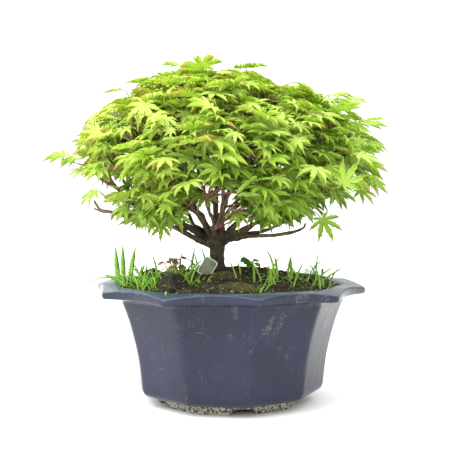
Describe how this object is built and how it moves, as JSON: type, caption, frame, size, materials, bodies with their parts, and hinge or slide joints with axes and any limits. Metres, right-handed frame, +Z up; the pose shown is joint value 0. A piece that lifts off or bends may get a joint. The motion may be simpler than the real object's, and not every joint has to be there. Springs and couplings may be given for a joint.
{
  "type": "potted maple bonsai",
  "caption": "Small bushy maple with a dome of green leaves, in a ten-sided flared glazed pot with short feet, soil, moss and grass.",
  "frame": {"origin": "middle of the bounding box, at the height of the feet's undersides", "axes": "+Z up along the trunk, -Y towards the front, +X to the right"},
  "size_m": [0.359, 0.3696, 0.3677],
  "materials": {
    "blue_glaze": "glossy indigo-blue glaze over stoneware, fired without glaze on the feet",
    "mesh_plastic": "black moulded mesh",
    "clip_wire": "dull bent wire",
    "soil": "dark brown loam with grit",
    "soil_clod": "damp dark clod",
    "moss": "olive moss cushion",
    "bark": "rough dark grey-brown bark",
    "maple_leaf": "thin bright green leaf with a bronze tinge at its tips",
    "grass": "thin green blade",
    "bronze_leaf": "reddish-brown leaf",
    "weed_leaf": "dark green leaf",
    "tag_plastic": "thin translucent film with a paler edge"
  },
  "bodies": {
    "root": {"pot": "blue_glaze", "drain_mesh": "mesh_plastic", "drain_mesh_clip": "clip_wire", "soil": "soil", "soil_clod_left": "soil_clod", "soil_clod_front": "soil_clod", "moss_front": "moss", "moss_trunk": "moss", "moss_right": "moss", "trunk_and_branches": "bark", "plant_tag": "tag_plastic", "red_leaved_weed": "bronze_leaf", "round_leaved_weed": "weed_leaf", "fallen_leaf": "bronze_leaf", "grass_tuft_1": "grass", "grass_tuft_2": "grass", "grass_tuft_3": "grass", "grass_tuft_4": "grass", "grass_tuft_5": "grass", "grass_tuft_6": "grass", "grass_tuft_7": "grass", "grass_tuft_8": "grass", "leaf_spray_01": "maple_leaf", "leaf_spray_02": "maple_leaf", "leaf_spray_03": "maple_leaf", "leaf_spray_04": "maple_leaf", "leaf_spray_05": "maple_leaf", "leaf_spray_06": "maple_leaf", "leaf_spray_07": "maple_leaf", "leaf_spray_08": "maple_leaf", "leaf_spray_09": "maple_leaf", "leaf_spray_10": "maple_leaf", "leaf_spray_11": "maple_leaf", "leaf_spray_12": "maple_leaf", "leaf_spray_13": "maple_leaf", "leaf_spray_14": "maple_leaf", "leaf_spray_15": "maple_leaf", "leaf_spray_16": "maple_leaf", "leaf_spray_17": "maple_leaf", "leaf_spray_18": "maple_leaf", "leaf_spray_19": "maple_leaf", "leaf_spray_20": "maple_leaf", "leaf_spray_21": "maple_leaf", "leaf_spray_22": "maple_leaf", "leaf_spray_23": "maple_leaf", "leaf_spray_24": "maple_leaf", "leaf_spray_25": "maple_leaf", "leaf_spray_26": "maple_leaf", "leaf_spray_27": "maple_leaf", "leaf_spray_28": "maple_leaf", "leaf_spray_29": "maple_leaf", "leaf_spray_30": "maple_leaf", "leaf_spray_31": "maple_leaf"}
  },
  "joints": []
}
